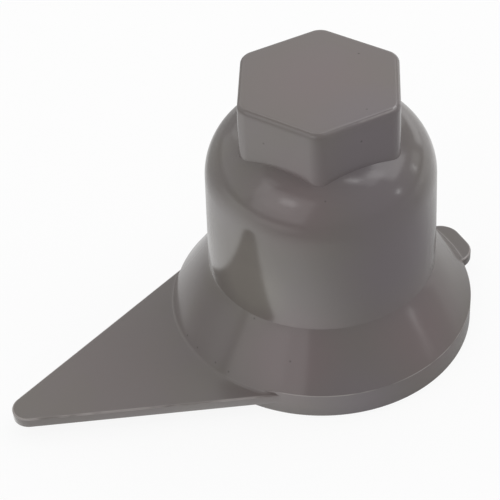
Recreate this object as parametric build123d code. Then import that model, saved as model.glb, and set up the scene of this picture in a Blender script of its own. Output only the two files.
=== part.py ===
from build123d import *
from math import acos, atan2, cos, radians, sin, sqrt, tan
import os

# Wheel nut cover cap: one injection-moulded shell, in millimetres.
# The origin is on the nut's axis, in the plane of the skirt's foot. +Z points to the hexagonal head
# and +X along the pointer.

# Nut that the cap grips
nut_across_flats = 33.0
nut_squeeze = 0.35

# Moulding
wall = 2.0
barrel_draft = 1.1
head_draft = 1.0

# Skirt, which reaches over the nut's washer
skirt_radius = 30.0
rim_height = 5.45
skirt_height = 16.2

# Barrel, from the skirt up to the level crown of its domed shoulder
barrel_height = 32.7
shoulder_radius = 12.4

# Hexagonal head, a corner of which points along the pointer
head_across_flats = 29.8
head_rise = 9.3
head_corner_radius = 3.8
head_edge_radius = 1.1
hollow_corner_radius = 1.8

# Pointer and thumb tab, two flat plates on one level
plate_top = 4.75
plate_thickness = 2.1
plate_edge_radius = 0.35
pointer_reach = 67.9
pointer_tip_radius = 3.4
pointer_root_angle = 44.7
tab_overhang = 3.7
tab_width = 12.2
tab_corner_radius = 4.2

# Grip ribs inside the barrel
rib_count = 24
rib_height = 1.95
rib_width = 1.4
rib_nose_chamfer = 0.4
rib_setback = 0.8
rib_lead_in = 3.0

# Worked out from the sizes above
grip_radius = nut_across_flats / sqrt(3) - nut_squeeze
bore_radius = grip_radius + rib_height
barrel_foot_radius = bore_radius + wall
barrel_lean = barrel_height * tan(radians(barrel_draft))
crown_z = skirt_height + barrel_height
shoulder_z = crown_z - shoulder_radius
head_top_z = crown_z + head_rise
skirt_slope = (skirt_height - rim_height) / (skirt_radius - barrel_foot_radius)
wall_drop = wall * sqrt(1 + skirt_slope**2)


def recess_z(radius):
    """Height of the skirt's inside at a radius, one wall in from the cone outside."""
    return rim_height + (skirt_radius - radius) * skirt_slope - wall_drop


def turned(lines):
    """Solid of revolution about Z from the lines of a half section."""
    return revolve(Plane.XZ * make_face(lines), Axis.Z)


def outside():
    """Foot, rim band, conical skirt, barrel and domed shoulder, filled."""
    corners = [
        (skirt_radius, 0),
        (skirt_radius, rim_height),
        (barrel_foot_radius, skirt_height),
        (barrel_foot_radius - barrel_lean, crown_z),
        (0, crown_z),
    ]
    side = FilletPolyline(*corners, radius=[0, 0, shoulder_radius])
    axis = Polyline((0, crown_z), (0, 0), (skirt_radius, 0))
    return turned([side, axis])


def inside():
    """Hollow of the skirt, barrel and shoulder, one wall inside the outer form."""
    rim_inner_radius = skirt_radius - wall
    bore_foot = (bore_radius, recess_z(bore_radius))
    skirt = Polyline(
        (rim_inner_radius, -wall), (rim_inner_radius, recess_z(rim_inner_radius)), bore_foot
    )
    ceiling_z = crown_z - wall
    bore = FilletPolyline(
        bore_foot,
        (bore_radius - barrel_lean, ceiling_z),
        (0, ceiling_z),
        radius=shoulder_radius - wall,
    )
    axis = Polyline((0, ceiling_z), (0, -wall), (rim_inner_radius, -wall))
    return turned([skirt, bore, axis])


def hexagon_prism(top_across_flats, top_z, corner_radius):
    """Hexagon that stands up out of the shoulder, drafted, with rounded corners."""
    height = top_z - shoulder_z
    foot_apothem = top_across_flats / 2 + height * tan(radians(head_draft))
    outline = RegularPolygon(foot_apothem, 6, major_radius=False)
    outline = fillet(outline.vertices(), corner_radius)
    return extrude(Pos(0, 0, shoulder_z) * outline, height, taper=head_draft)


def head():
    """Hexagonal head with its top edge rounded."""
    prism = hexagon_prism(head_across_flats, head_top_z, head_corner_radius)
    return fillet(prism.edges().group_by(Axis.Z)[-1], head_edge_radius)


def plate(outline):
    """Flat plate at the level of the pointer, with its top edge rounded."""
    slab = extrude(Pos(0, 0, plate_top - plate_thickness) * outline, plate_thickness)
    return fillet(slab.edges().group_by(Axis.Z)[-1], plate_edge_radius)


def pointer():
    """Triangular pointer: straight sides from the rim, tangent to a round tip.

    Each side leaves the rim's circle at pointer_root_angle from the pointer's axis. It starts one
    wall further in, inside the rim's own thickness.
    """
    tip_x = pointer_reach - pointer_tip_radius
    root_x = skirt_radius * cos(radians(pointer_root_angle))
    root_y = skirt_radius * sin(radians(pointer_root_angle))
    span = sqrt((tip_x - root_x) ** 2 + root_y**2)
    tangent_turn = atan2(root_y, root_x - tip_x) - acos(pointer_tip_radius / span)
    touch_x = tip_x + pointer_tip_radius * cos(tangent_turn)
    touch_y = pointer_tip_radius * sin(tangent_turn)
    side = Vector(root_x - touch_x, root_y - touch_y).normalized()
    start_x = root_x + side.X * wall
    start_y = root_y + side.Y * wall
    tip = ThreePointArc((touch_x, touch_y), (pointer_reach, 0), (touch_x, -touch_y))
    sides = Polyline((touch_x, touch_y), (start_x, start_y), (start_x, -start_y), (touch_x, -touch_y))
    return plate(make_face([tip, sides]))


def thumb_tab():
    """Short tab opposite the pointer, with its two free corners rounded."""
    root = skirt_radius - 2 * wall
    reach = skirt_radius + tab_overhang
    strip = Pos(-root, 0) * Rectangle(reach - root, tab_width, align=(Align.MAX, Align.CENTER))
    free_corners = strip.vertices().group_by(Axis.X)[0]
    return plate(fillet(free_corners, tab_corner_radius))


def rib_blade():
    """One upright rib of the bore, with a sloping lead-in at its foot and a chamfered nose."""
    foot_z = recess_z(bore_radius) + rib_setback
    side_view = Polyline(
        (barrel_foot_radius, foot_z),
        (bore_radius, foot_z),
        (grip_radius, foot_z + rib_lead_in),
        (grip_radius, crown_z),
        (barrel_foot_radius, crown_z),
        close=True,
    )
    blade = extrude(Plane.XZ * make_face(side_view), rib_width / 2, both=True)
    nose_corners = blade.edges().filter_by(Axis.Z).group_by(Axis.X)[0]
    return chamfer(nose_corners, rib_nose_chamfer)


def core():
    """Hollow of the cap, grooved where the ribs stand."""
    head_hollow = hexagon_prism(head_across_flats - 2 * wall, head_top_z - wall, hollow_corner_radius)
    blade = rib_blade()
    ribs = [Rot(0, 0, turn * 360 / rib_count) * blade for turn in range(rib_count)]
    return inside() + head_hollow - ribs


def nut_cover_cap():
    """The whole moulding."""
    return outside() + head() + pointer() + thumb_tab() - core()


os.makedirs("parts", exist_ok=True)
export_step(nut_cover_cap(), "parts/nut_cover_cap.step")
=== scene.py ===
"""Looks of a wheel nut cover cap: one numpy surface for the moulding, its plastic, a floor and soft light."""

from math import acos, atan2, cos, pi, radians, sin, sqrt, tan

import bmesh
import bpy
import numpy as np
from bpy.props import FloatProperty, FloatVectorProperty, IntProperty, PointerProperty
from mathutils import Matrix, Vector


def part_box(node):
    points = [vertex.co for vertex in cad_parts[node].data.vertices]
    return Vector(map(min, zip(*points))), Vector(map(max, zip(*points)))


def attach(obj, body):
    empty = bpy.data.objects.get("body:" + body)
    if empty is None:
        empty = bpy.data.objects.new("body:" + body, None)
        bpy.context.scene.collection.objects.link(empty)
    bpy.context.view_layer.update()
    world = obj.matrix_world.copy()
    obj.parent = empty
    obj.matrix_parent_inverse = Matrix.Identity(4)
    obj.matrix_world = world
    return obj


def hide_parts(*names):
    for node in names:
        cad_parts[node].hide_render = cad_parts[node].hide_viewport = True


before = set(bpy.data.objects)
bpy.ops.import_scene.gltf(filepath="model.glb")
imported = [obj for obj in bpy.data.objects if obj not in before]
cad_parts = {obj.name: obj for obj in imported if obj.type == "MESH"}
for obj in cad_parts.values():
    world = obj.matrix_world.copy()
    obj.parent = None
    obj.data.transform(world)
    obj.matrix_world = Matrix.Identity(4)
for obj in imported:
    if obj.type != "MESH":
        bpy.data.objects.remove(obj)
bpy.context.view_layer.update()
CAD_LOW, CAD_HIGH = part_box("nut_cover_cap")

bl_info = {
    "name": "Wheel nut cover cap",
    "version": (1, 0, 0),
    "blender": (4, 5, 0),
    "location": "3D View > Sidebar > Nut cover",
    "description": "Builds a moulded wheel nut cover cap with its pointer, and a stage to render it on",
    "category": "Add Mesh",
}

WHITE = (1.0, 1.0, 1.0)
HOLLOW = "hollow"
# Point attribute that places the painted highlight lines along the top edges
EDGE_HIGHLIGHT = "lip"


def length(name, description, default):
    """A size in metres that a user may change."""
    shown = {"name": name, "description": description}
    return FloatProperty(**shown, default=default, min=0.0, unit="LENGTH", precision=5)


def angle(name, description, default):
    """An angle, given here in degrees, that a user may change."""
    return FloatProperty(name=name, description=description, default=radians(default), unit="ROTATION")


def colour(name, description, default):
    """A linear colour that a user may change."""
    shown = {"name": name, "description": description}
    return FloatVectorProperty(**shown, default=default, size=3, subtype="COLOR", min=0.0, max=1.0)


def fraction(name, description, default):
    """A number from 0 to 1 that a user may change."""
    return FloatProperty(name=name, description=description, default=default, min=0.0, max=1.0)


class CapSizes(bpy.types.PropertyGroup):
    """Sizes of the moulding, whose overall reach comes from the CAD frame."""

    wall: length("Wall", "Wall thickness of the moulding", 0.002)
    height: length("Height", "From the skirt's foot to the head's top", CAD_HIGH.z)
    skirt_radius: length("Skirt radius", "Outer radius of the rim band", CAD_HIGH.y)
    rim_height: length("Rim height", "Height of the rim band at the skirt's foot", 0.00545)
    rim_edge: length("Rim edge", "Rounding between the rim band and the cone", 0.00045)
    foot_edge: length("Foot edge", "Rounding of the skirt's foot", 0.0002)
    skirt_height: length("Skirt height", "Height at which the cone meets the barrel", 0.0162)
    waist_edge: length("Waist", "Hollow rounding between the cone and the barrel", 0.00025)
    barrel_height: length("Barrel height", "From the skirt up to the level crown of the shoulder", 0.0327)
    barrel_draft: angle("Barrel draft", "Lean of the barrel's wall", 1.1)
    shoulder_radius: length("Shoulder radius", "Arc of the domed shoulder", 0.0124)
    head_width: length("Head width", "Hexagonal head, across flats at its top", 0.0298)
    head_draft: angle("Head draft", "Lean of the head's sides", 1.0)
    head_corner: length("Head corner", "Rounding of the head's upright corners, at their foot", 0.0038)
    head_edge: length("Head edge", "Rounding of the head's top edge", 0.0011)
    hollow_corner: length("Hollow corner", "Rounding of the upright corners inside the head", 0.0018)
    plate_top: length("Plate top", "Height of the upper face of pointer and tab", 0.00475)
    plate_thickness: length("Plate thickness", "Thickness of pointer and tab", 0.0021)
    plate_edge: length("Plate edge", "Rounding of the plates' top edge", 0.00035)
    plate_root: length("Plate root", "Hollow rounding between the plates and the cone", 0.0007)
    plate_under_edge: length("Plate under edge", "Rounding of the plates' lower edge", 0.00015)
    pointer_reach: length("Pointer reach", "From the axis to the pointer's tip", CAD_HIGH.x)
    pointer_tip: length("Pointer tip", "Radius of the pointer's tip", 0.0034)
    pointer_root: angle("Pointer root", "Angle from the pointer's axis where its sides leave the rim", 44.7)
    tab_reach: length("Tab reach", "From the axis to the thumb tab's end", -CAD_LOW.x)
    tab_width: length("Tab width", "Width of the thumb tab", 0.0122)
    tab_corner: length("Tab corner", "Radius of the tab's free corners", 0.0042)
    grip_radius: length("Grip radius", "Circle through the noses of the ribs", 0.0187026)
    rib_height: length("Rib height", "How far a rib stands out of the bore's wall", 0.00195)
    rib_width: length("Rib width", "Width of a rib", 0.0014)
    rib_nose: length("Rib nose", "Chamfer of a rib's nose", 0.0004)
    rib_setback: length("Rib setback", "From the bore's mouth to the foot of a rib", 0.0008)
    rib_lead_in: length("Rib lead-in", "Length of the slope at a rib's foot", 0.003)
    rib_count: IntProperty(name="Ribs", description="Number of grip ribs round the bore", default=24, min=12)


class CapLooks(bpy.types.PropertyGroup):
    """Colours and light levels."""

    olive_grey: colour("Olive grey", "Main grey of the plastic", (0.155, 0.141, 0.129))
    # Cool grey: drifts through the plastic, and in patches it is painted shade on the right-hand side
    cool_grey_and_painted_shade: colour("Cool grey and painted shade", "Cooler grey, which drifts through the plastic", (0.158, 0.138, 0.146))
    rosy_grey: colour("Rosy grey", "Warmer grey, in soft patches", (0.170, 0.138, 0.138))
    # Painted light: a lighter grey that brightens the barrel where it mirrors the pointer
    painted_light_grey: colour("Painted light grey", "Lighter grey, in a soft patch", (0.190, 0.175, 0.157))
    speck: colour("Speck", "Dark specks in the plastic", (0.045, 0.035, 0.035))
    # Painted highlight: pale colour of thin broken lines along the top edges of plates, rim and head
    lip: colour("Edge highlight", "Paler plastic, thin along a mould's edge or rubbed", (0.34, 0.31, 0.30))
    floor: colour("Floor", "Colour of the floor", (0.8, 0.8, 0.8))
    floor_glow: fraction("Floor glow", "How much of the floor is white by itself where it is seen", 0.9)
    floor_glow_mirrored: fraction("Floor glow mirrored", "The same where a surface mirrors the floor", 0.5)
    room: fraction("Room light", "Strength of the even light from all round", 0.435)


class Grid:
    """Numbers of columns round the moulding and of rings up it, stretch by stretch.

    Of the columns from one rib to the next, ON_RIB are on the rib. Of those round each half turn, the bare
    rim has what the other stretches leave.
    """

    PER_RIB = 20
    ON_RIB = 5
    TIP = 16
    SIDE = 50
    TAB_CORNER = 20
    TAB_END = 8
    FOOT = 4
    UNDER_EDGE = 4
    TOP_EDGE = 6
    ROOT = 5
    RIM_EDGE = 6
    CONE = 8
    WAIST = 4
    BARREL = 14
    SHOULDER = 20
    HEAD_EDGE = 8
    HOLLOW_SHOULDER = 9
    RIBBED_SHOULDER = 8
    BORE = 7
    RECESS = 6


class Shares:
    """Places of the rings on stretches with uneven steps, as shares of the stretch."""

    UNDER_PLATE = (0.3, 0.7, 1.0)
    ON_PLATE = (1.0, 0.75, 0.45, 0.2)
    HEAD_SIDE = (0.15, 0.4, 0.7, 0.93, 1.0)
    HEAD_TOP = (1.0, 0.9, 0.65, 0.35, 0.1)
    CEILING = (0.1, 0.4, 0.7, 0.97)
    HOLLOW_SIDE = (0.0, 0.05, 0.35, 0.7)
    LEAD_IN = (1.0, 0.97, 0.5, 0.03, 0.0)
    RECESS_WALL = (0.66, 0.33, 0.1)


# Half the sector round the tab's axis that the tab may stand in, and the least divisor outside it
TAB_SECTOR = pi / 4
LEAST = 1e-3

# Halvings of the interval in which the shoulder meets the head
HALVINGS = 40

# Part of the head's top edge with a painted highlight line, in degrees from the pointer's axis
HEAD_HIGHLIGHT_MIDDLE = 103.0
HEAD_HIGHLIGHT_HALF_WIDTH = 19.0

MERGE_DISTANCE = 1e-7
SHARP_ANGLE = radians(30)


def rows(values):
    """Values that change from ring to ring, as a column that broadcasts over the angles."""
    return np.asarray(values, float)[:, None]


def steps(count):
    """Shares of a stretch at the ends of even steps along it. The last is 1."""
    return np.linspace(0, 1, count + 1)[1:]


def between(first, second, share):
    """Value at a share of the way from one value to another: the first plus the share of the difference."""
    return first + share * (second - first)


def slide(share, first, second):
    """Angles at a share of the way between two spacings, eased: 3 times its square less twice its cube."""
    return between(first, second, share**2 * (3 - 2 * share))


def rings(radii, heights, angles):
    """Points of several rings round the axis: radius times cosine, radius times sine, height.

    Radii, heights and angles may each change by ring or by column.
    """
    radii, heights, angles = np.broadcast_arrays(radii, heights, angles)
    return np.stack([radii * np.cos(angles), radii * np.sin(angles), heights], axis=-1)


def on_arc(centre, radius, turn):
    """Radii and heights on an arc of the half section: its centre plus radius times cosine and sine."""
    return centre[0] + radius * np.cos(turn), centre[1] + radius * np.sin(turn)


def corner_arc(corner, before, after, radius, count):
    """Arc that rounds a corner of the half section between two directions, given as angles in radians.

    It starts before the corner by the radius times the tangent of half the turn. Its centre lies one
    radius from that start, at a right angle to the first direction.
    """
    turn = after - before
    side = 1.0 if turn > 0 else -1.0
    back = radius * tan(abs(turn) / 2)
    start = (corner[0] - back * cos(before), corner[1] - back * sin(before))
    centre = (start[0] - side * radius * sin(before), start[1] + side * radius * cos(before))
    return on_arc(centre, radius, np.linspace(before - side * pi / 2, after - side * pi / 2, count))


def half_columns(s):
    """Number of columns in half a turn."""
    return s.rib_count * Grid.PER_RIB // 2


def columns_round_outline(s):
    """Column angles round the rim, close together at the pointer's tip and the tab's corners.

    Each half turn runs from the pointer's axis to the tab's axis: even steps round the tip's arc, even
    angles along the pointer's side and the bare rim, even steps round the tab's corner, and the tab's end.
    """
    lean = pointer_lean(s)
    tip_at = (s.pointer_reach - s.pointer_tip, 0)
    tip_x, tip_y = on_arc(tip_at, s.pointer_tip, np.linspace(0, lean, Grid.TIP + 1))
    tip = np.arctan2(tip_y, tip_x)
    corner_at = (s.tab_reach - s.tab_corner, s.tab_width / 2 - s.tab_corner)
    corner_x, corner_y = on_arc(corner_at, s.tab_corner, np.linspace(pi / 2, 0, Grid.TAB_CORNER + 1))
    corner = pi - np.arctan2(corner_y, corner_x)
    side = np.linspace(tip[-1], s.pointer_root, Grid.SIDE + 1)
    bare_count = half_columns(s) - Grid.TIP - Grid.SIDE - Grid.TAB_CORNER - Grid.TAB_END
    bare = np.linspace(s.pointer_root, corner[0], bare_count + 1)
    end = np.linspace(corner[-1], pi, Grid.TAB_END + 1)
    half = np.concatenate([tip, side[1:], bare[1:], corner[1:], end[1:]])
    return np.concatenate([half[:-1], 2 * pi - half[:0:-1]])


def columns_even(s):
    """Column angles in even steps."""
    return np.arange(2 * half_columns(s)) * pi / half_columns(s)


def pointer_lean(s):
    """Angle from the pointer's axis of the normal of its straight side, which touches the tip's arc.

    Seen from the tip's centre, it is the angle of the side's root less the arccosine of the tip's radius
    over the root's distance.
    """
    tip_x = s.pointer_reach - s.pointer_tip
    root_x = s.skirt_radius * cos(s.pointer_root)
    root_y = s.skirt_radius * sin(s.pointer_root)
    span = sqrt((tip_x - root_x) ** 2 + root_y**2)
    return atan2(root_y, root_x - tip_x) - acos(s.pointer_tip / span)


def round_corner_reach(angles, centre, radius):
    """Distance from the axis, along each angle, to the far side of a circle.

    It is the centre's distance along the angle, plus the root of the radius squared less the centre's
    distance across the angle squared.
    """
    along = centre[0] * np.cos(angles) + centre[1] * np.sin(angles)
    across = centre[0] * np.sin(angles) - centre[1] * np.cos(angles)
    return along + np.sqrt(np.maximum(radius**2 - across**2, 0.0))


def plate_reach(s, angles, inset):
    """Distance from the axis to the edge of pointer, tab or rim, whichever is furthest, moved in by inset.

    The pointer's side is a line at a fixed distance from the axis along its normal, so its reach is that
    distance over the cosine of the angle to the normal. The tab's end and flank are such lines too. Round
    stretches are circles.
    """
    turn = np.abs((angles + pi) % (2 * pi) - pi)
    lean = pointer_lean(s)
    tip_x = s.pointer_reach - s.pointer_tip
    tip_radius = s.pointer_tip - inset
    side = (tip_x * cos(lean) + tip_radius) / np.cos(np.minimum(turn, s.pointer_root) - lean)
    tip = round_corner_reach(turn, (tip_x, 0.0), tip_radius)
    touch = np.arctan2(tip_radius * sin(lean), tip_x + tip_radius * cos(lean))
    pointer = np.where(turn < touch, tip, side)
    back = pi - turn
    corner_radius = s.tab_corner - inset
    corner_at = (s.tab_reach - s.tab_corner, s.tab_width / 2 - s.tab_corner)
    corner = round_corner_reach(back, corner_at, corner_radius)
    end = (s.tab_reach - inset) / np.maximum(np.cos(back), LEAST)
    flank = (s.tab_width / 2 - inset) / np.maximum(np.sin(back), LEAST)
    end_turn = np.arctan2(corner_at[1], corner_at[0] + corner_radius)
    flank_turn = np.arctan2(corner_at[1] + corner_radius, corner_at[0])
    tab = np.where(back < end_turn, end, np.where(back < flank_turn, corner, flank))
    reach = np.where(turn <= s.pointer_root, pointer, np.where(back < TAB_SECTOR, tab, 0.0))
    return np.maximum(reach, s.skirt_radius)


def plate_edge_rings(s, angles, radius, level, turn):
    """Rounded edge of the plates: in by radius times 1 less cosine, up from a level by radius times sine."""
    return rings(plate_reach(s, angles, radius * (1 - np.cos(turn))), level + radius * np.sin(turn), angles)


def wall_foot(s):
    """Outer radius of the barrel at its foot."""
    return s.grip_radius + s.rib_height + s.wall


def cone_slope(s):
    """Direction of the cone in the half section, upwards from the rim, as an angle in radians."""
    return atan2(s.skirt_height - s.rim_height, wall_foot(s) - s.skirt_radius)


def rim_edge_arc(s):
    """Radii and heights of the rounding between the rim band and the cone."""
    return corner_arc((s.skirt_radius, s.rim_height), pi / 2, cone_slope(s), s.rim_edge, Grid.RIM_EDGE)


def skirt_rings(s, angles):
    """Foot, rim band and the two plates that stand out of it, by stretch, up to the rim's top edge.

    All points of a ring have one height, up to the plates' upper face. Their distance from the axis is the
    same all round on foot and band, the plates' reach on the plates' edges, and a share of the way out to
    it on their faces.
    """
    rim = s.skirt_radius
    under = s.plate_top - s.plate_thickness
    foot_centre = (rim - s.foot_edge, s.foot_edge)
    foot_r, foot_z = on_arc(foot_centre, s.foot_edge, rows(np.linspace(-pi / 2, 0, Grid.FOOT)))
    under_turn = rows(np.linspace(-pi / 2, 0, Grid.UNDER_EDGE))
    under_level = under + s.plate_under_edge
    under_reach = plate_reach(s, angles, s.plate_under_edge + s.foot_edge)
    top_turn = rows(np.linspace(0, pi / 2, Grid.TOP_EDGE))
    top_level = s.plate_top - s.plate_edge
    top_reach = plate_reach(s, angles, s.plate_edge + s.foot_edge)
    rise = rim_top_rings(s, angles, top_reach)
    root = np.hypot(rise[0, :, 0], rise[0, :, 1])
    return {
        "foot": rings(foot_r, foot_z, angles),
        "band": rings(rim, rows([2 * s.foot_edge, under / 2, under]), angles),
        "under_plate": rings(between(rim, under_reach, rows(Shares.UNDER_PLATE)), under, angles),
        "under_edge": plate_edge_rings(s, angles, s.plate_under_edge, under_level, under_turn),
        "top_edge": plate_edge_rings(s, angles, s.plate_edge, top_level, top_turn),
        "on_plate": rings(between(root, top_reach, rows(Shares.ON_PLATE)), s.plate_top, angles),
        "rise": rise,
    }


def rim_top_rings(s, angles, reach):
    """From the plates' upper face, or the band where no plate is, onto the foot of the cone.

    Where no plate is, the profile goes up the band and round the rim's edge. Where a plate stands, it is
    an arc that touches the plate and the cone, and then the cone. In between, the two are blended by how
    far the plate stands out, up to the foot of the arc.
    """
    slope = cone_slope(s)
    edge = np.stack(rim_edge_arc(s))
    corner = (s.skirt_radius - (s.rim_height - s.plate_top) / tan(slope), s.plate_top)
    root = np.stack(corner_arc(corner, pi, slope, s.plate_root, Grid.ROOT))
    band_top = np.array([[s.skirt_radius], [s.plate_top]])
    bare = np.hstack([np.repeat(band_top, Grid.ROOT, axis=1), edge])
    beside = np.hstack([root, between(root[:, -1:], edge[:, -1:], steps(Grid.RIM_EDGE))])
    stands = np.clip((reach - s.skirt_radius) / (root[0, 0] - s.skirt_radius), 0, 1)
    radii, heights = between(bare[:, :, None], beside[:, :, None], stands)
    return rings(radii, heights, angles)


def shoulder_arc(s, inward):
    """Centre and radius of the shoulder's arc, tangent to the leaning barrel wall and the level crown.

    The wall and the crown meet in a corner. The arc's centre lies inside it by the radius times the
    tangent of half the turn between them, and one radius below the crown.
    """
    radius = s.shoulder_radius - inward
    crown_z = s.skirt_height + s.barrel_height - inward
    corner = wall_foot(s) - inward - s.barrel_height * tan(s.barrel_draft)
    centre = corner - radius * tan((pi / 2 - s.barrel_draft) / 2)
    return (centre, crown_z - radius), radius


def hexagon_reach(angles, apothem, corner_radius):
    """Distance from the axis to a hexagon with rounded corners, one of them at angle 0.

    A side's reach is its apothem over the cosine of the angle to its normal. A corner is a circle whose
    centre lies on the corner's own line from the axis.
    """
    turn = np.abs((angles + pi / 6) % (pi / 3) - pi / 6)
    centre = (apothem - corner_radius) / cos(pi / 6)
    touch = np.arctan2(corner_radius * sin(pi / 6), centre + corner_radius * cos(pi / 6))
    corner = round_corner_reach(turn, (centre, 0.0), corner_radius)
    return np.where(turn < touch, corner, apothem / np.cos(pi / 6 - turn))


def drafted_hexagon(s, heights, top_z, width, corner_radius):
    """Apothem and corner radius of a drafted hexagon at given heights.

    Both shrink upwards by the tangent of the draft. The apothem is half the width at the top, and the
    corner radius is the given one at the foot of the shoulder.
    """
    foot_z = s.skirt_height + s.barrel_height - s.shoulder_radius
    lean = tan(s.head_draft)
    return width / 2 + (top_z - heights) * lean, corner_radius - (heights - foot_z) * lean


def meet_shoulder(angles, centre, radius, outline):
    """Arc angle at which the shoulder meets the head's side, column by column, by halving the interval."""
    low = np.zeros_like(angles)
    high = np.full_like(angles, pi / 2)
    for _ in range(HALVINGS):
        middle = (low + high) / 2
        reach, height = on_arc(centre, radius, middle)
        outside = reach > outline(height, angles)
        low = np.where(outside, middle, low)
        high = np.where(outside, high, middle)
    return (low + high) / 2


def upper_rings(s, around, even):
    """Cone, barrel, shoulder and hexagonal head, by stretch, from the rim's edge to the middle of the head.

    Cone, waist and barrel are one profile turned about the axis, and the column angles slide on it from
    those of the outline to even ones. Each column of the shoulder is an arc that ends where it meets the
    hexagon, whose sides then go straight up.
    """
    rim_r, rim_z = (along[-1] for along in rim_edge_arc(s))
    waist = (wall_foot(s), s.skirt_height)
    lean = pi / 2 + s.barrel_draft
    waist_r, waist_z = corner_arc(waist, cone_slope(s), lean, s.waist_edge, Grid.WAIST)
    centre, radius = shoulder_arc(s, 0.0)
    top_r, top_z = on_arc(centre, radius, s.barrel_draft)
    cone = steps(Grid.CONE)[:-1]
    barrel = steps(Grid.BARREL)
    radii = [between(rim_r, waist_r[0], cone), waist_r, between(waist_r[-1], top_r, barrel)]
    heights = [between(rim_z, waist_z[0], cone), waist_z, between(waist_z[-1], top_z, barrel)]
    heights = rows(np.concatenate(heights))
    share = np.clip((heights - rim_z) / (top_z - rim_z), 0, 1)

    def outline(z, at):
        return hexagon_reach(at, *drafted_hexagon(s, z, s.height, s.head_width, s.head_corner))

    end = meet_shoulder(even, centre, radius, outline)
    turn = between(s.barrel_draft, end, rows(steps(Grid.SHOULDER)))
    shoulder = rings(*on_arc(centre, radius, turn), even)
    edge_z = s.height - s.head_edge * (1 - sin(s.head_draft))
    side_z = between(shoulder[-1, :, 2], edge_z, rows(Shares.HEAD_SIDE))
    return {
        "turned": rings(rows(np.concatenate(radii)), heights, slide(share, around, even)),
        "shoulder": shoulder,
        "head_side": rings(outline(side_z, even), side_z, even),
        **head_top_rings(s, even, edge_z),
    }


def head_top_rings(s, angles, edge_z):
    """Rounded top edge of the head and its flat top, drawn in towards the axis.

    Round the edge, the hexagon is drawn in by the edge's radius times the cosine of the draft less that of
    the turn, and rises by the radius times the sine. The flat's rings are shares of its reach.
    """
    apothem, corner = drafted_hexagon(s, edge_z, s.height, s.head_width, s.head_corner)
    turn = between(s.head_draft, pi / 2, rows(steps(Grid.HEAD_EDGE)))
    inset = s.head_edge * (cos(s.head_draft) - np.cos(turn))
    flat_inset = s.head_edge + s.foot_edge
    flat = hexagon_reach(angles, apothem - flat_inset, corner - flat_inset)
    edge = hexagon_reach(angles, apothem - inset, corner - inset)
    return {
        "head_edge": rings(edge, s.height - s.head_edge * (1 - np.sin(turn)), angles),
        "head_top": rings(flat * rows(Shares.HEAD_TOP), s.height, angles),
    }


def recess_height(s, radius):
    """Height of the skirt's inside at a radius, one wall in from the cone outside.

    It is the cone's height there less the wall times the root of 1 plus its steepness squared.
    """
    steepness = (s.skirt_height - s.rim_height) / (s.skirt_radius - wall_foot(s))
    return s.rim_height + (s.skirt_radius - radius) * steepness - s.wall * sqrt(1 + steepness**2)


def ribbed_rings(s, walls, heights, noses):
    """Rings of the bore with its ribs, and their column angles.

    In each pitch the columns run: middle of the nose, corner of the nose, end of its chamfer, root of
    the side, even steps along the wall, and the same back to the next rib. A column on a rib keeps its
    distance sideways from the rib's middle, so its angle is the arcsine of that over its radius.
    """
    noses = np.minimum(noses, walls)
    shoulder = np.minimum(noses + s.rib_nose, walls)
    half = s.rib_width / 2
    pitch = 2 * pi / s.rib_count
    on_wall = Grid.PER_RIB - Grid.ON_RIB
    root = np.arcsin(half / walls)
    valley = between(root, pitch - root, np.linspace(0, 1, on_wall))
    nose_turn = np.arcsin((half - s.rib_nose) / noses)
    end_turn = np.arcsin(half / shoulder)
    middle = np.zeros_like(walls)
    turns = np.hstack([middle, nose_turn, end_turn, valley, pitch - end_turn, pitch - nose_turn])
    radii = np.hstack([noses, noses, shoulder, np.repeat(walls, on_wall, axis=1), shoulder, noses])
    starts = np.arange(s.rib_count) * pitch
    turns = (turns[:, None, :] + starts[None, :, None]).reshape(len(walls), -1)
    radii = np.tile(radii, (1, s.rib_count))
    return rings(radii, heights, turns), turns


def inner_rings(s, even):
    """The hollow, from the middle of the head's ceiling down to the foot.

    The ribs vanish on the shoulder's arc where it comes in to their noses, at the arccosine of the noses'
    distance from its centre over its radius.
    """
    centre, radius = shoulder_arc(s, s.wall)
    vanish = acos((s.grip_radius - centre[0]) / radius)
    turn = rows(np.linspace(vanish, s.barrel_draft, Grid.RIBBED_SHOULDER))
    walls, heights = on_arc(centre, radius, turn)
    ribbed, turns = ribbed_rings(s, walls, heights, np.full_like(walls, s.grip_radius))
    head = hollow_head_rings(s, even, vanish, turns[0])
    bore, turns = bore_rings(s, heights[-1, 0])
    return np.concatenate([head, ribbed, bore, recess_rings(s, turns[-1])])


def hollow_head_rings(s, even, vanish, ribbed):
    """Ceiling, sides and shoulder of the hollow head, down to the arc angle at which the ribs vanish.

    The ceiling's rings are shares of the hexagon's reach. Its sides go down to where they meet the
    shoulder's arc, and on the arc the column angles slide from even ones to those of the ribs.
    """
    ceiling = s.height - s.wall
    width = s.head_width - 2 * s.wall
    centre, radius = shoulder_arc(s, s.wall)

    def outline(z, at):
        return hexagon_reach(at, *drafted_hexagon(s, z, ceiling, width, s.hollow_corner))

    end = meet_shoulder(even, centre, radius, outline)
    meet_z = centre[1] + radius * np.sin(end)
    side_z = between(ceiling, meet_z, rows(Shares.HOLLOW_SIDE))
    share = rows(np.linspace(0, 1, Grid.HOLLOW_SHOULDER, endpoint=False))
    return np.concatenate([
        rings(outline(ceiling, even) * rows(Shares.CEILING), ceiling, even),
        rings(outline(side_z, even), side_z, even),
        rings(*on_arc(centre, radius, between(end, vanish, share)), slide(share, even, ribbed)),
    ])


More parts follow.
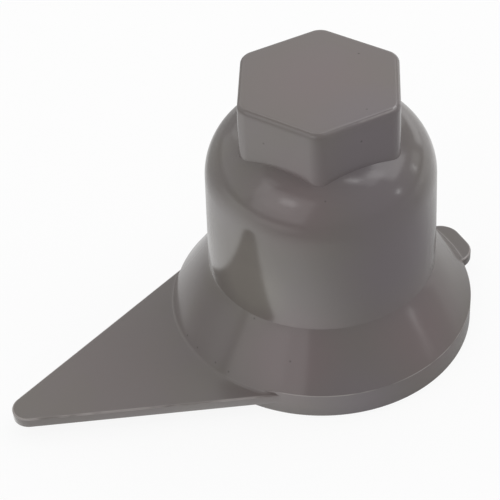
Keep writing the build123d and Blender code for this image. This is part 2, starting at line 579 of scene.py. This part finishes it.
def bore_rings(s, top_z):
    """Straight part of the ribbed bore, from under the shoulder down to its mouth, and its column angles.

    The wall widens downwards by the tangent of the draft. At the lead-in the noses go back to the wall,
    in proportion to the way down it.
    """
    mouth_r = s.grip_radius + s.rib_height
    mouth_z = recess_height(s, mouth_r)
    foot_z = mouth_z + s.rib_setback
    lead_in = foot_z + np.array(Shares.LEAD_IN) * s.rib_lead_in
    straight = between(top_z, lead_in[0], steps(Grid.BORE)[:-1])
    heights = rows(np.concatenate([straight, lead_in, [mouth_z]]))
    walls = mouth_r - (heights - mouth_z) * tan(s.barrel_draft)
    climb = np.clip((heights - foot_z) / s.rib_lead_in, 0, 1)
    return ribbed_rings(s, walls, heights, between(walls, s.grip_radius, climb))


def recess_rings(s, angles):
    """Recess in the skirt: from the bore's mouth straight down the inner cone, then down the rim."""
    mouth_r = s.grip_radius + s.rib_height
    inner_rim = s.skirt_radius - s.wall
    corner_z = recess_height(s, inner_rim)
    cone = steps(Grid.RECESS)
    down = corner_z * np.array(Shares.RECESS_WALL)
    foot_centre = (inner_rim + s.foot_edge, s.foot_edge)
    foot_r, foot_z = on_arc(foot_centre, s.foot_edge, np.linspace(pi, 1.5 * pi, Grid.FOOT))
    radii = [between(mouth_r, inner_rim, cone), np.full_like(down, inner_rim), foot_r]
    heights = [between(recess_height(s, mouth_r), corner_z, cone), down, foot_z]
    return rings(rows(np.concatenate(radii)), rows(np.concatenate(heights)), angles)


def head_edge_highlight_share(angles):
    """How much of the painted highlight line the head's top edge gets, column by column.

    It is twice the share of the half width that lies between the column and the end of the highlighted
    part, and at most 1.
    """
    off = np.abs(np.degrees(angles) - HEAD_HIGHLIGHT_MIDDLE) / HEAD_HIGHLIGHT_HALF_WIDTH
    return np.clip(2 * (1 - off), 0, 1)


def edge_highlight_shares(s, around, even, outer):
    """Where a highlight is painted as a pale line, for each point outside.

    A painted highlight line runs in the middle of the plates' top edge, and of the rim's top edge where no
    plate is, and another in the middle of the head's top edge.
    """
    edge_highlights = {name: np.zeros(stretch.shape[:2]) for name, stretch in outer.items()}
    stands = plate_reach(s, around, 0.0) > s.skirt_radius + s.rim_edge
    middle = Grid.HEAD_EDGE // 2
    edge_highlights["top_edge"][1:-1] = stands
    edge_highlights["rise"][1 - Grid.RIM_EDGE : -1] = ~stands
    edge_highlights["head_edge"][middle - 1 : middle + 1] = head_edge_highlight_share(even)
    return np.concatenate(list(edge_highlights.values()))


def closed_mesh(name, grid, first_pole, last_pole, shares):
    """Mesh of a grid of points that closes round its columns and at a pole on each end.

    Rings that lie on each other in some columns are merged there, which leaves no faces without area.
    Shares go onto point attributes, which the plastic reads. Each has a value for each point of the grid.
    """
    ring_count, column_count = grid.shape[:2]
    points = np.concatenate([grid.reshape(-1, 3), [first_pole, last_pole]])
    index = np.arange(ring_count * column_count).reshape(ring_count, column_count)
    beside = np.roll(index, -1, axis=1)
    quads = np.stack([index[:-1], beside[:-1], beside[1:], index[1:]], axis=-1).reshape(-1, 4)
    first, last = len(points) - 2, len(points) - 1
    fan_in = np.stack([np.full(column_count, first), beside[0], index[0]], axis=-1)
    fan_out = np.stack([index[-1], beside[-1], np.full(column_count, last)], axis=-1)
    mesh = bpy.data.meshes.new(name)
    mesh.from_pydata(points, [], quads.tolist() + fan_in.tolist() + fan_out.tolist())
    for share_name, values in shares.items():
        at_points = np.concatenate([values.ravel(), [values[0, 0], values[-1, 0]]])
        attribute = mesh.attributes.new(share_name, "FLOAT", "POINT")
        attribute.data.foreach_set("value", at_points.astype(np.float32))
    work = bmesh.new()
    work.from_mesh(mesh)
    bmesh.ops.remove_doubles(work, verts=work.verts, dist=MERGE_DISTANCE)
    work.to_mesh(mesh)
    work.free()
    mesh.polygons.foreach_set("use_smooth", np.ones(len(mesh.polygons), bool))
    mesh.set_sharp_from_angle(angle=SHARP_ANGLE)
    mesh.validate()
    return mesh


def moulding_mesh(s):
    """The whole moulding as one closed grid, from the hollow's top round the foot to the head's top."""
    around = columns_round_outline(s)
    even = columns_even(s)
    inner = inner_rings(s, even)
    outer = skirt_rings(s, around) | upper_rings(s, around, even)
    grid = np.concatenate([inner, *outer.values()])
    # Painted highlight lines go only on the outside
    no_edge_highlight = np.zeros(inner.shape[:2])
    lip = np.concatenate([no_edge_highlight, edge_highlight_shares(s, around, even, outer)])
    hollow = np.zeros(grid.shape[:2])
    hollow[: len(inner)] = 1.0
    poles = (0, 0, s.height - s.wall), (0, 0, s.height)
    return closed_mesh("cap_moulding", grid, *poles, {HOLLOW: hollow, EDGE_HIGHLIGHT: lip})


class Socket:
    """Output of a node. The operators on it add Math nodes."""

    def __init__(self, graph, output):
        self.graph = graph
        self.output = output

    def __add__(self, other):
        return self.graph.math("ADD", self, other)

    def __mul__(self, other):
        return self.graph.math("MULTIPLY", self, other)

    def __lt__(self, other):
        return self.graph.math("LESS_THAN", self, other)

    def __gt__(self, other):
        return self.graph.math("GREATER_THAN", self, other)

    __radd__ = __add__
    __rmul__ = __mul__


class Graph:
    """Nodes of a material or a world, added as the expressions that use them are worked out."""

    # Places of a Mix node's colour sockets, which share their names with its other ones
    MIX_SHARE = 0
    MIX_FIRST = 6
    MIX_SECOND = 7
    MIX_RESULT = 2

    def __init__(self, owner):
        owner.use_nodes = True
        self.tree = owner.node_tree
        self.tree.nodes.clear()

    def node(self, kind, settings=None, inputs=None, output=0):
        """Add a node: settings first, then each socket's value or link, by name or place."""
        made = self.tree.nodes.new(kind)
        for name, value in (settings or {}).items():
            setattr(made, name, value)
        for name, value in (inputs or {}).items():
            if isinstance(value, Socket):
                self.tree.links.new(value.output, made.inputs[name])
            else:
                made.inputs[name].default_value = value
        return Socket(self, made.outputs[output]) if made.outputs else None

    def math(self, operation, first, second):
        """Sum, product or comparison of two values."""
        return self.node("ShaderNodeMath", {"operation": operation}, {0: first, 1: second})

    def blend(self, share, first, second):
        """Colour between two colours."""
        settings = {"data_type": "RGBA", "clamp_factor": True}
        inputs = {self.MIX_SHARE: share, self.MIX_FIRST: first, self.MIX_SECOND: second}
        return self.node("ShaderNodeMix", settings, inputs, self.MIX_RESULT)

    def light(self, rgb, level):
        """Colour times a level, which may be above 1."""
        return self.node("ShaderNodeVectorMath", {"operation": "SCALE"}, {"Vector": rgb, "Scale": level})

    def slope(self, value, low, high):
        """Smooth step of a value from 0 at low to 1 at high."""
        settings = {"interpolation_type": "SMOOTHSTEP", "clamp": True}
        return self.node("ShaderNodeMapRange", settings, {"Value": value, "From Min": low, "From Max": high})

    def place(self):
        """Object coordinates."""
        return self.node("ShaderNodeTexCoord", output="Object")

    def near(self, middle, radius, core=0.0):
        """1 within a core round a place on the object, and from there smoothly down to 0 at a radius."""
        settings = {"operation": "DISTANCE"}
        away = self.node("ShaderNodeVectorMath", settings, {0: self.place(), 1: middle}, "Value")
        return self.slope(away, radius, core)

    def noise(self, scale, detail=2.0):
        """Noise of a fineness per metre."""
        inputs = {"Vector": self.place(), "Scale": scale, "Detail": detail}
        return self.node("ShaderNodeTexNoise", inputs=inputs)

    def share(self, attribute):
        """Share that the mesh holds for each point."""
        return self.node("ShaderNodeAttribute", {"attribute_name": attribute}, output="Fac")


def opaque(rgb):
    """A linear colour with full alpha, as colour sockets take it."""
    return (*rgb, 1.0)


class Finish:
    """The plastic's detail, in metres and as strengths.

    Noises have a fineness per metre, and levels between which they rise from none to all.
    """

    DRIFT = 70.0
    DRIFT_LEVELS = (0.4, 0.6)
    DRIFT_STRENGTH = 0.3
    SPECK_CELL = 140.0
    SPECK_SIZE = 0.032
    SPECK_STRENGTH = 0.3
    SPOT_RADIUS = 0.00035
    SPOT_STRENGTH = 0.6
    # Breaks and strength of the painted highlight lines along the top edges
    EDGE_HIGHLIGHT_BREAKS = 130.0
    EDGE_HIGHLIGHT_LEVELS = (0.3, 0.6)
    EDGE_HIGHLIGHT_STRENGTH = 0.8
    DULL = 90.0
    DULL_DETAIL = 4.0
    DULL_LEVELS = (0.35, 0.7)
    DULL_ROUGHNESS = 0.04
    HOLLOW_ROUGHNESS = 0.12
    ROUGHNESS = 0.14
    GRAIN = 2600.0
    GRAIN_DETAIL = 3.0
    GRAIN_HEIGHT = 0.0000012
    WAVE = 55.0
    WAVE_DETAIL = 1.0
    WAVE_HEIGHT = 0.00006
    IOR = 1.5


# Soft patches of other greys, in metres: rosy ones of the plastic's own, cool ones of painted shade and pale
# ones of painted light
PATCHES = {
    "rosy_grey": {
        "head_top": {"middle": (0.000, 0.000, 0.0582), "radius": 0.024, "strength": 0.8},
        "dome_front": {"middle": (0.0128, 0.0145, 0.0445), "radius": 0.014, "strength": 1.0},
        "cone_front": {"middle": (0.0178, 0.0192, 0.0110), "radius": 0.016, "strength": 1.2},
        "pointer": {"middle": (0.0450, 0.0000, 0.0047), "radius": 0.030, "strength": 0.4},
        "cone_right": {"middle": (-0.0085, 0.0245, 0.0110), "radius": 0.018, "strength": 1.0},
    },
    # Painted shade: a cooler grey on the shaded side of head, shoulder and barrel, and on the rim's front
    "cool_grey_and_painted_shade": {
        "head_right": {"middle": (-0.0020, 0.0150, 0.0515), "radius": 0.015, "strength": 1.2},
        "dome_right": {"middle": (-0.0006, 0.0206, 0.0427), "radius": 0.012, "strength": 0.8},
        "rim_front": {"middle": (0.0070, 0.0292, 0.0020), "radius": 0.014, "strength": 1.0},
        "barrel_right": {"middle": (-0.0053, 0.0218, 0.0293), "radius": 0.020, "strength": 1.2},
    },
    # Painted light: lighter patches on the barrel where it mirrors the pointer's plate as a dark band
    "painted_light_grey": {
        "barrel_low": {"middle": (0.0206, 0.0088, 0.0235), "radius": 0.0105, "strength": 1.6},
        "barrel_high": {"middle": (0.0206, 0.0085, 0.0320), "radius": 0.0070, "strength": 0.8},
    },
}

# Middles of single dark spots, in metres
SPOTS = {
    "head_left": (0.01445, 0.00498, 0.0525),
    "head_right": (-0.00027, 0.01498, 0.0539),
    "waist": (0.0206, 0.0102, 0.0157),
    "cone": (0.0179, 0.0194, 0.0107),
    "head_top": (-0.0104, -0.0034, 0.0582),
    "crease_middle": (0.0297, 0.0026, 0.0058),
    "crease_front": (0.0274, 0.0116, 0.0058),
    "crease_near": (0.0285, 0.0082, 0.0059),
    "crease_back": (0.0298, -0.0016, 0.0056),
}


def plastic_tint(graph, looks):
    """Grey that drifts a little, with soft patches of other greys, dark specks and spots, and painted
    highlights.
    """
    drift = graph.slope(graph.noise(Finish.DRIFT), *Finish.DRIFT_LEVELS)
    tint = graph.blend(drift * Finish.DRIFT_STRENGTH, opaque(looks.olive_grey), opaque(looks.cool_grey_and_painted_shade))
    # Soft patches, among them painted shade (cool) and painted light (pale)
    for grey, patches in PATCHES.items():
        for patch in patches.values():
            near = graph.near(patch["middle"], patch["radius"])
            tint = graph.blend(near * patch["strength"], tint, opaque(getattr(looks, grey)))
    cells = {"Vector": graph.place(), "Scale": Finish.SPECK_CELL}
    speck = graph.node("ShaderNodeTexVoronoi", inputs=cells, output="Distance") < Finish.SPECK_SIZE
    tint = graph.blend(speck * Finish.SPECK_STRENGTH, tint, opaque(looks.speck))
    for middle in SPOTS.values():
        spot = graph.near(middle, Finish.SPOT_RADIUS)
        tint = graph.blend(spot * Finish.SPOT_STRENGTH, tint, opaque(looks.speck))
    # Painted highlight: pale broken lines along the edges that the mesh's attribute marks
    broken = graph.slope(graph.noise(Finish.EDGE_HIGHLIGHT_BREAKS), *Finish.EDGE_HIGHLIGHT_LEVELS)
    return graph.blend(graph.share(EDGE_HIGHLIGHT) * broken * Finish.EDGE_HIGHLIGHT_STRENGTH, tint, opaque(looks.lip))


def grey_plastic(looks):
    """Satin moulded plastic.

    The tool's polish leaves fine grain, long shallow waves and slightly duller patches, and the hollow is
    duller.
    """
    material = bpy.data.materials.new("grey_plastic")
    graph = Graph(material)
    tint = plastic_tint(graph, looks)
    dull = graph.slope(graph.noise(Finish.DULL, Finish.DULL_DETAIL), *Finish.DULL_LEVELS)
    hollow = graph.share(HOLLOW)
    roughness = Finish.ROUGHNESS + Finish.DULL_ROUGHNESS * dull + Finish.HOLLOW_ROUGHNESS * hollow
    grain = graph.noise(Finish.GRAIN, Finish.GRAIN_DETAIL) * Finish.GRAIN_HEIGHT
    height = grain + graph.noise(Finish.WAVE, Finish.WAVE_DETAIL) * Finish.WAVE_HEIGHT
    bump = graph.node("ShaderNodeBump", inputs={"Strength": 1.0, "Distance": 1.0, "Height": height})
    inputs = {"Base Color": tint, "Roughness": roughness, "IOR": Finish.IOR, "Normal": bump}
    shader = graph.node("ShaderNodeBsdfPrincipled", inputs=inputs)
    graph.node("ShaderNodeOutputMaterial", inputs={"Surface": shader})
    return material


class CAP_OT_build_moulding(bpy.types.Operator):
    """Build the moulded cap in place of its CAD node"""

    bl_idname = "cap.build_moulding"
    bl_label = "Build moulding"

    def execute(self, context):
        piece = bpy.data.objects.new("cap_moulding", moulding_mesh(context.scene.cap_sizes))
        context.scene.collection.objects.link(piece)
        piece.data.materials.append(grey_plastic(context.scene.cap_looks))
        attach(piece, "root")
        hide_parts("nut_cover_cap")
        return {"FINISHED"}


class View:
    """The photograph's camera, in pixels of its square frame, degrees and metres."""

    FRAME = 500
    FOCAL = 1800.0
    AXIS_FOOT = (319.618, 312.342)
    AZIMUTH = 64.3
    ELEVATION = 41.787
    ROLL = -2.947
    DISTANCE = 0.369676
    NEAREST = 0.01
    SENSOR_MM = 36.0


def direction(azimuth, elevation):
    """Unit vector towards an azimuth and elevation in degrees."""
    a, e = radians(azimuth), radians(elevation)
    return Vector((cos(e) * cos(a), cos(e) * sin(a), sin(e)))


def add_camera(scene):
    """Camera at the photograph's viewing angle, which sees the foot of the nut's axis at its own pixel."""
    back = direction(View.AZIMUTH, View.ELEVATION)
    right = direction(View.AZIMUTH + 90, 0)
    up = back.cross(right)
    across = (View.AXIS_FOOT[0] - View.FRAME / 2) / View.FOCAL
    down = (View.AXIS_FOOT[1] - View.FRAME / 2) / View.FOCAL
    place = View.DISTANCE * (back - across * right + down * up)
    roll = Matrix.Rotation(radians(View.ROLL), 3, back)
    turn = Matrix((roll @ right, roll @ up, back)).transposed()
    data = bpy.data.cameras.new("camera")
    data.sensor_width = View.SENSOR_MM
    data.lens = View.FOCAL / View.FRAME * data.sensor_width
    data.clip_start = View.NEAREST
    camera = bpy.data.objects.new("camera", data)
    camera.matrix_world = Matrix.Translation(place) @ turn.to_4x4()
    scene.collection.objects.link(camera)
    scene.camera = camera


# Lamps and pools of light have their azimuth in degrees from the camera's, and their sizes in metres
LAMP_AIM = Vector((0.0, 0.0, 0.025))
LAMP_DISTANCE = 0.9
LAMPS = {
    "left_box": {"azimuth": -44, "elevation": 27, "width": 0.9, "height": 0.73, "radiance": 0.8},
    "left_middle": {"azimuth": -48, "elevation": 30, "width": 0.5, "height": 0.4, "radiance": 0.3},
    "left_core": {"azimuth": -38, "elevation": 36, "width": 0.22, "height": 0.15, "radiance": 1.5},
    "left_wide": {"azimuth": -110, "elevation": 30, "width": 1.2, "height": 0.8, "radiance": 0.35},
    "left_high": {
        "azimuth": -75, "elevation": 50, "width": 0.15, "height": 0.15, "radiance": 0.66, "distance": 0.7
    },
    "right_box": {"azimuth": 98, "elevation": 44, "width": 0.45, "height": 0.5, "radiance": 1.6},
    "right_strip": {"azimuth": 76, "elevation": 13, "width": 0.05, "height": 0.1, "radiance": 5.0},
    "right_edge": {"azimuth": 105, "elevation": 11, "width": 0.03, "height": 0.16, "radiance": 3.0},
    "right_low": {"azimuth": 110, "elevation": 12, "width": 0.3, "height": 0.2, "radiance": 0.5},
    "right_top": {"azimuth": 74, "elevation": 54, "width": 0.3, "height": 0.3, "radiance": 0.9},
    "right_spot": {"azimuth": 60, "elevation": 66, "width": 0.08, "height": 0.16, "radiance": 3.4},
    "back_key": {
        "azimuth": 130, "elevation": 50, "width": 0.15, "height": 0.15, "radiance": 4.5, "distance": 0.7
    },
    "back_right": {"azimuth": 136, "elevation": 47, "width": 0.6, "height": 0.45, "radiance": 1.0},
    "back_low": {"azimuth": 148, "elevation": 5, "width": 0.65, "height": 0.2, "radiance": 0.9},
    "back_wide": {"azimuth": 180, "elevation": 45, "width": 1.4, "height": 1.0, "radiance": 0.46},
    "back_top": {
        "azimuth": 180, "elevation": 70, "width": 0.4, "height": 0.3, "radiance": 0.7, "distance": 0.6
    },
}


def add_lamp(scene, name, azimuth, elevation, width, height, radiance, distance=LAMP_DISTANCE):
    """Area lamp that looks at the cap's middle."""
    towards = direction(View.AZIMUTH + azimuth, elevation)
    data = bpy.data.lights.new(name, "AREA")
    data.shape = "RECTANGLE"
    data.size = width
    data.size_y = height
    data.energy = radiance * pi * width * height
    lamp = bpy.data.objects.new(name, data)
    turn = towards.to_track_quat("Z", "Y").to_matrix().to_4x4()
    lamp.matrix_world = Matrix.Translation(distance * towards + LAMP_AIM) @ turn
    lamp.visible_camera = False
    scene.collection.objects.link(lamp)


FLOOR_HALF_WIDTH = 3.0
FLOOR_DROP = 0.00005
FLOOR_EVEN = 0.1
FLOOR_POOLS = {
    "left": {"azimuth": -60, "reach": 0.065, "core": 0.0, "radius": 0.105, "strength": 2.2},
    "far_left": {"azimuth": -85, "reach": 0.130, "core": 0.0, "radius": 0.090, "strength": 1.0},
    "left_horizon": {"azimuth": -62, "reach": 0.350, "core": 0.15, "radius": 0.27, "strength": 1.5},
    "front": {"azimuth": -27, "reach": 0.035, "core": 0.0, "radius": 0.040, "strength": 1.8},
    "back_left": {"azimuth": -152, "reach": 0.075, "core": 0.0, "radius": 0.045, "strength": 0.6},
    "right": {"azimuth": 148, "reach": 0.070, "core": 0.0, "radius": 0.065, "strength": 0.6},
    "near_right": {"azimuth": 118, "reach": 0.090, "core": 0.02, "radius": 0.055, "strength": 0.5},
    "far_right": {"azimuth": 145, "reach": 0.500, "core": 0.35, "radius": 0.45, "strength": 0.8},
}


def floor_material(looks):
    """White floor. Seen or mirrored, part of it is white by itself, and the rest takes light and shadow.

    Mirrored, its own light is even and weak, with soft pools round the cap, as between windows.
    """
    material = bpy.data.materials.new("floor")
    graph = Graph(material)
    matt = graph.node("ShaderNodeBsdfDiffuse", inputs={"Color": opaque(looks.floor)})
    camera = graph.node("ShaderNodeLightPath", output="Is Camera Ray")
    mirrored = graph.node("ShaderNodeLightPath", output="Is Glossy Ray")
    through = graph.node("ShaderNodeLightPath", output="Is Transmission Ray")
    pools = FLOOR_EVEN
    for pool in FLOOR_POOLS.values():
        middle = pool["reach"] * direction(View.AZIMUTH + pool["azimuth"], 0)
        pools = graph.near(middle, pool["radius"], pool["core"]) * pool["strength"] + pools
    glow = graph.light(WHITE, camera + through + mirrored * pools)
    white = graph.node("ShaderNodeEmission", inputs={"Color": glow})
    share = (camera + through) * looks.floor_glow + mirrored * looks.floor_glow_mirrored
    mixed = graph.node("ShaderNodeMixShader", inputs={0: share, 1: matt, 2: white})
    graph.node("ShaderNodeOutputMaterial", inputs={"Surface": mixed})
    return material


def add_floor(scene, looks):
    """Wide plain floor just under the skirt's foot."""
    half = FLOOR_HALF_WIDTH
    corners = [(x, y, -FLOOR_DROP) for x, y in ((-half, -half), (half, -half), (half, half), (-half, half))]
    mesh = bpy.data.meshes.new("floor")
    mesh.from_pydata(corners, [], [(0, 1, 2, 3)])
    mesh.materials.append(floor_material(looks))
    floor = bpy.data.objects.new("floor", mesh)
    scene.collection.objects.link(floor)


def add_world(scene, looks):
    """Even light from all round."""
    world = bpy.data.worlds.new("room")
    graph = Graph(world)
    light = graph.node("ShaderNodeBackground", inputs={"Color": opaque(WHITE), "Strength": looks.room})
    graph.node("ShaderNodeOutputWorld", inputs={"Surface": light})
    scene.world = world


class CAP_OT_build_stage(bpy.types.Operator):
    """Build the floor, the room light, the lamps and the camera"""

    bl_idname = "cap.build_stage"
    bl_label = "Build stage"

    def execute(self, context):
        scene = context.scene
        scene.view_settings.view_transform = "Standard"
        add_floor(scene, scene.cap_looks)
        add_world(scene, scene.cap_looks)
        for name, settings in LAMPS.items():
            add_lamp(scene, name, **settings)
        add_camera(scene)
        return {"FINISHED"}


class CAP_PT_panel(bpy.types.Panel):
    """Sizes and build buttons in the sidebar"""

    bl_idname = "CAP_PT_panel"
    bl_label = "Nut cover cap"
    bl_space_type = "VIEW_3D"
    bl_region_type = "UI"
    bl_category = "Nut cover"

    def draw(self, context):
        for name in CapSizes.__annotations__:
            self.layout.prop(context.scene.cap_sizes, name)
        for name in CapLooks.__annotations__:
            self.layout.prop(context.scene.cap_looks, name)
        self.layout.operator(CAP_OT_build_moulding.bl_idname)
        self.layout.operator(CAP_OT_build_stage.bl_idname)


CLASSES = (CapSizes, CapLooks, CAP_OT_build_moulding, CAP_OT_build_stage, CAP_PT_panel)


def register():
    """Add the classes and the scene's settings."""
    for each in CLASSES:
        bpy.utils.register_class(each)
    bpy.types.Scene.cap_sizes = PointerProperty(type=CapSizes)
    bpy.types.Scene.cap_looks = PointerProperty(type=CapLooks)


def unregister():
    """Take the settings and the classes out again."""
    del bpy.types.Scene.cap_looks
    del bpy.types.Scene.cap_sizes
    for each in reversed(CLASSES):
        bpy.utils.unregister_class(each)


def main():
    """Build the piece and the stage."""
    register()
    bpy.ops.cap.build_moulding()
    bpy.ops.cap.build_stage()


if __name__ == "__main__":
    main()
